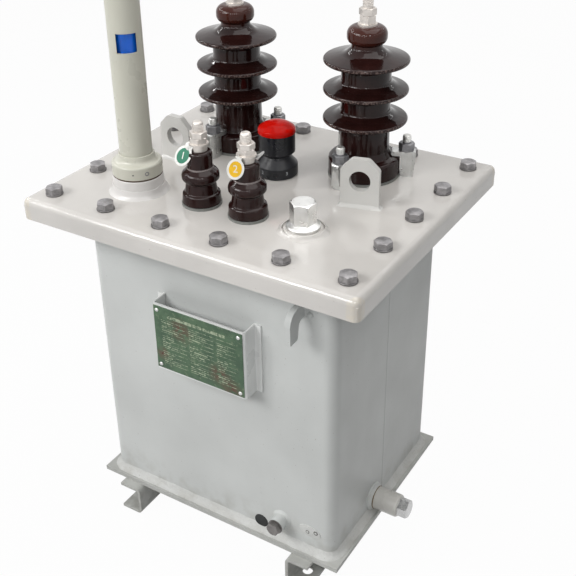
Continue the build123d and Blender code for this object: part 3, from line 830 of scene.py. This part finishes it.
white_plastic = plastic("white_plastic", (0.80, 0.80, 0.77))
green_print = plastic("green_print", (0.006, 0.165, 0.09))
yellow_print = plastic("yellow_print", (0.83, 0.49, 0.022))
for side, word, print_colour, centre, foot, turn, half_length, half_width in (
        ("left", "1", green_print, Vector((-0.0128, -0.0134, 0.0623)),
         Vector((-0.0198, -0.0174, 0.0533)), math.radians(-8), 0.0130, 0.0108),
        ("right", "2", yellow_print, Vector((-0.0035, -0.0168, 0.0640)),
         Vector((-0.0060, -0.0205, 0.0505)), math.radians(22), 0.0122, 0.0098)):
    axis = lv_axes[side]
    outward = Vector((centre.x, centre.y, 0)).normalized()
    start = outward * 0.0100 + Vector((0, 0, seat_height))
    shoulder = outward * 0.0150 + Vector((0, 0, seat_height))
    facing = Vector((math.sin(turn), -math.cos(turn), 0.36)).normalized()
    down = (foot - centre).normalized()
    points = curve_through(start, shoulder, centre - down * half_length,
                           centre + down * half_length, tag_rows)
    neck = tag_rows // 4
    widths = [neck_half] * (neck + 1)
    for i in range(neck + 1, tag_rows + 1):
        t = 2 * (i - neck) / (tag_rows - neck) - 1
        widths.append(max(half_width * oval(t), neck_half * (1 - (t + 1) * 2.2), 0.0002))
    leaf = bmesh.new()
    add_leaf(leaf, [axis + point for point in points], facing, widths, 0.0, tag_sheet)
    make_piece("terminal_tag_" + side, leaf, white_plastic)
    places = [2 * i / print_rows - 1 for i in range(print_rows + 1)]
    face = bmesh.new()
    add_leaf(face, [axis + centre + down * half_length * 0.76 * t for t in places], facing,
             [max(0.0001, half_width * 0.74 * oval(t)) for t in places], tag_sheet, print_sheet)
    make_piece("tag_print_" + side, face, print_colour)
    across = down.cross(facing).normalized()
    normal = across.cross(down).normalized()
    upright = (Vector((0, 0, 1)) - normal * normal.z).normalized()
    add_number(word, number_size, axis + centre + normal * (tag_sheet + print_sheet + 0.00002),
               upright.cross(normal), upright, normal, "tag_number_" + side, white_plastic)

tab = bmesh.new()
reach = Vector((0.849, 0.528, 0.0))
tab_rows = ((0.0095, 0.0722, 0.0030), (0.0120, 0.0724, 0.0034), (0.0150, 0.0740, 0.0036),
            (0.0180, 0.0765, 0.0034), (0.0200, 0.0785, 0.0018))
add_leaf(tab, [lv_axes["right"] + reach * r + Vector((0, 0, z)) for r, z, half in tab_rows],
         Vector((0, 0, 1)), [half for r, z, half in tab_rows], 0.0, 0.0012)
make_piece("terminal_tab", tab, metal("tab_steel", (0.42, 0.42, 0.41), 0.38, 120.0, 0.15, 0.00008))

# -------------------------------- tap changer
# A black moulded knob with a waist and a numbered skirt, under a glossy red moulded cap.
# The numbers are printed round the skirt, one for each setting.
setting_count, setting_turn, third_setting, skirt_number = 5, 72, -31.5, 0.0062
skirt_middle, print_lift = 0.0085, 0.00004


def moulded(name, colour, roughness, specular, wear=1.15):
    """Moulded resin: paler where it is worn, scuffed, and slightly uneven."""
    material, tree, shader = new_shader(name, colour, roughness)
    shader.inputs["Specular IOR Level"].default_value = specular
    cloud = add_patches(tree, 80.0, 4.0, 0.3, 0.7)
    shade = add_mix(tree, cloud, times(colour, 0.85), times(colour, wear))
    tree.links.new(shade, shader.inputs["Base Color"])
    scuffs = add_patches(tree, 30.0, 5.0, 0.35, 0.7, roughness * 0.7, roughness * 1.5)
    tree.links.new(scuffs, shader.inputs["Roughness"])
    add_bump(tree, shader, add_noise(tree, 900.0, 2.0), 0.00004)
    add_bump(tree, shader, add_noise(tree, 60.0, 2.0), 0.0003)
    return material


dress(moulded("black_moulding", (0.0075, 0.008, 0.0105), 0.34, 0.40, 1.6), "tap_changer_housing")
dress(moulded("red_moulding", (0.48, 0.006, 0.003), 0.08, 0.06), "tap_changer_cap")
low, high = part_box("tap_changer_housing")
skirt_axis = axis_on_cover(low, high) + Vector((0, 0, skirt_middle))
pale_print = plastic("pale_print", (0.42, 0.44, 0.46))
for k in range(setting_count):
    angle = math.radians(third_setting + setting_turn * (k - 2))
    normal = Vector((math.cos(angle), math.sin(angle), 0))
    add_number(str(k + 1), skirt_number,
               skirt_axis + normal * ((high.x - low.x) / 2 + print_lift),
               Vector((-normal.y, normal.x, 0)), Vector((0, 0, 1)), normal,
               "tap_number_%d" % (k + 1), pale_print)

# -------------------------------- oil level gauge
# A painted tube screwed into a collar on a welded stub. A window shows a clear tube and its blue
# float, and small set screws hold the tube in the collar.
gauge_enamel = enamel("gauge_enamel", (0.545, 0.54, 0.465), 0.30)
stub_enamel = enamel("stub_enamel", (0.67, 0.655, 0.64), 0.20, peel=0.00003)
dress(stub_enamel, "gauge_stub")
dress(gauge_enamel, "gauge_collar", "gauge_tube")
dress(grainy("brown_gasket", (0.060, 0.035, 0.022)), "gauge_gasket")
dress(moulded("blue_float", (0.002, 0.075, 0.40), 0.16, 0.3, 1.5), "gauge_float")
glass, tree, shader = new_shader("gauge_glass", (0.93, 0.97, 1.0), 0.05)
shader.inputs["Transmission Weight"].default_value = 1.0
shader.inputs["IOR"].default_value = 1.12
haze = add_patches(tree, 90.0, 3.0, 0.3, 0.7, 0.02, 0.09)
tree.links.new(haze, shader.inputs["Roughness"])
add_bump(tree, shader, add_noise(tree, 120.0, 1.0), 0.00005)
dress(glass, "gauge_glass")

low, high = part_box("gauge_stub")
gauge_axis = axis_on_cover(low, high)
stub_weld = bmesh.new()
add_run(stub_weld, level_arc(gauge_axis, (high.x - low.x) / 2, 0, 360, 90)[:-1],
        fillet_section(0.0050, 0.0105, 0.5), ripple=0.01, rough=0.12)
make_piece("gauge_stub_weld", stub_weld, stub_enamel)

low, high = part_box("gauge_collar")
screw_head = [(0.0026, -0.001), (0.0026, 0.0006), (0.0020, 0.0008), (0.0016, 0.0004),
              (0.0014, -0.0004), (0.0, -0.0004)]
pin_head = [(0.0010, -0.0004), (0.0010, 0.0004), (0.0, 0.0005)]
screws, pins = bmesh.new(), bmesh.new()
for bm, degrees, z, profile, steps in (
        (screws, -29.0, 0.0313, screw_head, 24), (pins, -60.5, 0.0311, pin_head, 16),
        (screws, 91.0, 0.0313, screw_head, 24), (screws, 211.0, 0.0313, screw_head, 24)):
    angle = math.radians(degrees)
    normal = Vector((math.cos(angle), math.sin(angle), 0))
    place = gauge_axis + normal * ((high.x - low.x) / 2 - 0.0003) + Vector((0, 0, z))
    add_turned(bm, profile, place, steps, normal.to_track_quat("Z", "Y").to_matrix())
make_piece("gauge_set_screws", screws, nut_grey)
make_piece("gauge_pin", pins, dull_washer)

# -------------------------------- filler plug
# A plated hexagon plug with a pale cast crown, screwed into a boss that is welded to the cover.
# The boss is painted with the cover.
dress(cover_enamel, "filler_boss")
plug_zinc = metal("plug_zinc", (0.80, 0.80, 0.785), 0.32, 60.0, 0.08, 0.0001)
tree, shader = opened(plug_zinc)
add_bump(tree, shader, add_noise(tree, 150.0, 3.0, (1.0, 1.0, 0.15)), 0.0005)
dress(plug_zinc, "filler_plug")
low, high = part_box("filler_boss")
boss_weld = bmesh.new()
add_run(boss_weld, level_arc(axis_on_cover(low, high), (high.x - low.x) / 2, 0, 360, 80)[:-1],
        fillet_section(0.0042, 0.0036, 0.2), ripple=0.02, rough=0.30)
make_piece("filler_boss_weld", boss_weld, cover_enamel)

# -------------------------------- nameplate
# A folded bracket with a thin green enamelled plate held by four drive rivets. The plate has ruled
# rows of plain marks in three columns and no words. Rust stains creep in under the enamel.
rust_stains = ((-0.022, 0.342, 0.021), (0.033, 0.299, 0.019), (0.050, 0.284, 0.017),
               (-0.050, 0.300, 0.012))
row_count, line_width, mark_height, rivet_inset = 11, 0.0007, 0.0016, 0.0052
dress(enamel("bracket_enamel", (0.72, 0.73, 0.72), 0.30), "nameplate_bracket")
plate_low, plate_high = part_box("nameplate")
face_y = plate_low.y
green, tree, shader = new_shader("plate_green", (0.04, 0.09, 0.045), 0.33)
cloud = add_patches(tree, 60.0, 5.0, 0.35, 0.65)
shade = add_mix(tree, cloud, (0.030, 0.075, 0.036), (0.062, 0.125, 0.062))
chips = add_patches(tree, 260.0, 6.0, 0.60, 0.68, 0.0, 0.55)
shade = add_mix(tree, chips, shade, (0.17, 0.22, 0.13))
for x, z, size in rust_stains:
    off = add_vector_step(tree, "DISTANCE", object_point(tree), (x, face_y, z), "Value")
    near = add_range(tree, off, size * 0.15, size, 1.0, 0.0)
    patch = add_patches(tree, 130.0, 6.0, 0.34, 0.52)
    shade = add_mix(tree, add_math(tree, "MULTIPLY", near, patch), shade, (0.085, 0.036, 0.018))
tree.links.new(shade, shader.inputs["Base Color"])
polish = add_patches(tree, 90.0, 4.0, 0.3, 0.7, 0.24, 0.50)
tree.links.new(polish, shader.inputs["Roughness"])
add_bump(tree, shader, add_noise(tree, 330.0, 4.0), 0.0002)
dress(green, "nameplate")


def add_strip(bm, x0, x1, z0, z1, y, depth=0.00012):
    """A raised flat strip on the front of the plate."""
    verts = [bm.verts.new((x, yy, z)) for yy in (y, y - depth)
             for x, z in ((x0, z0), (x1, z0), (x1, z1), (x0, z1))]
    for loop in ((4, 5, 6, 7), (0, 1, 5, 4), (1, 2, 6, 5), (2, 3, 7, 6), (3, 0, 4, 7)):
        bm.faces.new([verts[k] for k in loop])


pale_enamel, tree, shader = new_shader("pale_enamel", (0.30, 0.36, 0.24), 0.4)
worn = add_patches(tree, 380.0, 5.0, 0.40, 0.60)
shade = add_mix(tree, worn, (0.055, 0.105, 0.055), (0.36, 0.42, 0.29))
tree.links.new(shade, shader.inputs["Base Color"])
add_bump(tree, shader, add_noise(tree, 500.0, 3.0), 0.00005)
rules = bmesh.new()
left, right = plate_low.x + 0.010, plate_high.x - 0.010
foot, head = plate_low.z + 0.009, plate_high.z - 0.007
add_strip(rules, left + 0.010, right - 0.014, head - 0.0060, head - 0.0020, face_y)
row_height = (head - 0.011 - foot) / row_count
for row in range(row_count + 1):
    z = foot + row * row_height
    for a, b in ((left, left + 0.036), (left + 0.040, left + 0.076), (left + 0.080, right)):
        add_strip(rules, a, b, z, z + line_width, face_y)
        if row < row_count and (row * 7 + int(a * 1000)) % 4:
            start, mark_z = a + 0.001, z + row_height * 0.42
            length = (b - a) * (0.35 + 0.12 * ((row * 5 + int(b * 1000)) % 4))
            add_strip(rules, start, start + length, mark_z, mark_z + mark_height, face_y)
make_piece("plate_rules", rules, pale_enamel)
rivet_head = [(0.0026, 0.0), (0.0025, 0.0006), (0.0019, 0.0013), (0.0010, 0.0016), (0.0, 0.0017)]
rivets = bmesh.new()
facing_front = Matrix.Rotation(math.radians(90), 3, "X")
for x in (plate_low.x + rivet_inset, plate_high.x - rivet_inset):
    for z in (plate_low.z + rivet_inset, plate_high.z - rivet_inset):
        add_turned(rivets, rivet_head, Vector((x, face_y, z)), 24, facing_front)
make_piece("plate_rivets", rivets, bright_tip)

# -------------------------------- drain
# A drain socket welded through a round pad on the side wall and closed with a plated plug. A thin
# line of rust marks the foot of the weld.
dress(tank_enamel, "drain_pad")
dress(enamel("drain_enamel", (0.56, 0.55, 0.52), 0.26), "drain_body")
dress(metal("drain_zinc", (0.50, 0.50, 0.50), 0.26, 90.0, 0.12, 0.0001), "drain_plug")
pad_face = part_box("drain_pad")[1].x
low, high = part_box("drain_body")
drain_axis = Vector((pad_face, (low.y + high.y) / 2, (low.z + high.z) / 2))
drain_radius = (high.z - low.z) / 2
sideways, upwards = Vector((1, 0, 0)), Vector((0, 0, 1))


def wall_circle(centre, radius, normal, count=72):
    """Points round a circle on a wall, ordered so that a weld run's reach points outward."""
    side = upwards.cross(normal).normalized()
    turns = [2 * math.pi * k / count for k in range(count)]
    return [centre + (side * math.cos(turn) + upwards * math.sin(turn)) * radius for turn in turns]


drain_weld = bmesh.new()
add_run(drain_weld, wall_circle(drain_axis, drain_radius, sideways),
        fillet_section(0.0040, 0.0036), sideways, ripple=0.02, rough=0.18)
make_piece("drain_weld", drain_weld, tank_enamel)
stain = bmesh.new()
add_run(stain, wall_circle(drain_axis + Vector((0.0042, 0, 0)), drain_radius + 0.0002, sideways),
        round_section(0.0006, 1.0, 6), sideways, rough=0.35)
make_piece("drain_rust_line", stain, grainy("rust_line", (0.14, 0.095, 0.05), 0.8))

# -------------------------------- earth terminal
# A round boss welded to the front wall, with a steel bolt in it. A black disc is stuck on one side
# of it, and on the other a small painted pad carries two spots, each in a dark ring.
dress(tank_enamel, "earth_boss")
dress(metal("earth_steel", (0.20, 0.19, 0.185), 0.48, 130.0, 0.22, 0.00018), "earth_bolt")
outwards = Vector((0, -1, 0))
low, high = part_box("earth_boss")
earth_axis = Vector(((low.x + high.x) / 2, tank_low.y, (low.z + high.z) / 2))
earth_weld = bmesh.new()
add_run(earth_weld, wall_circle(earth_axis, (high.x - low.x) / 2, outwards),
        fillet_section(0.0038, 0.0034, 0.2), outwards, ripple=0.04, rough=0.30)
make_piece("earth_weld", earth_weld, tank_enamel)

disc = bmesh.new()
disc_edge = [(0.0098, 0.0), (0.0098, 0.0005), (0.0090, 0.0011), (0.0060, 0.0013), (0.0, 0.0013)]
add_turned(disc, disc_edge, Vector((0.0684, tank_low.y, 0.0632)), 48, facing_front)
make_piece("earth_disc", disc, moulded("black_disc", (0.012, 0.013, 0.013), 0.5, 0.3, 2.5))

pad, dark_rings = bmesh.new(), bmesh.new()
pad_edge = [(0.0078, 0.0), (0.0076, 0.0009), (0.0070, 0.0011), (0.0, 0.0011)]
spot = [(0.0022, 0.0), (0.0020, 0.0012), (0.0012, 0.0018), (0.0, 0.0020)]
add_turned(pad, pad_edge, Vector((0, 0, 0)), 40)
bmesh.ops.scale(pad, vec=Vector((2.0, 1.0, 1.0)), verts=pad.verts)
lay = Matrix.Rotation(math.radians(8), 3, "Y") @ facing_front
pad_place = Matrix.Translation(Vector((0.1412, tank_low.y, 0.0815)))
bmesh.ops.transform(pad, matrix=pad_place @ lay.to_4x4(), verts=pad.verts)
for x, z, ring in ((0.1382, 0.0800, 0.0026), (0.1500, 0.0830, 0.0031)):
    place = Vector((x, tank_low.y, z))
    add_turned(pad, spot, place, 20, facing_front)
    add_turned(dark_rings, [(ring, 0.0), (ring, 0.0013), (0.0018, 0.0014), (0.0, 0.0014)], place, 20,
               facing_front)
make_piece("earth_side_pad", pad, weld_enamel)
make_piece("earth_pad_dark_rings", dark_rings, grainy("dark_rings", (0.11, 0.11, 0.10), 0.8))

# -------------------------------- sizes
# The box of the dressed object.
low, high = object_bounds()
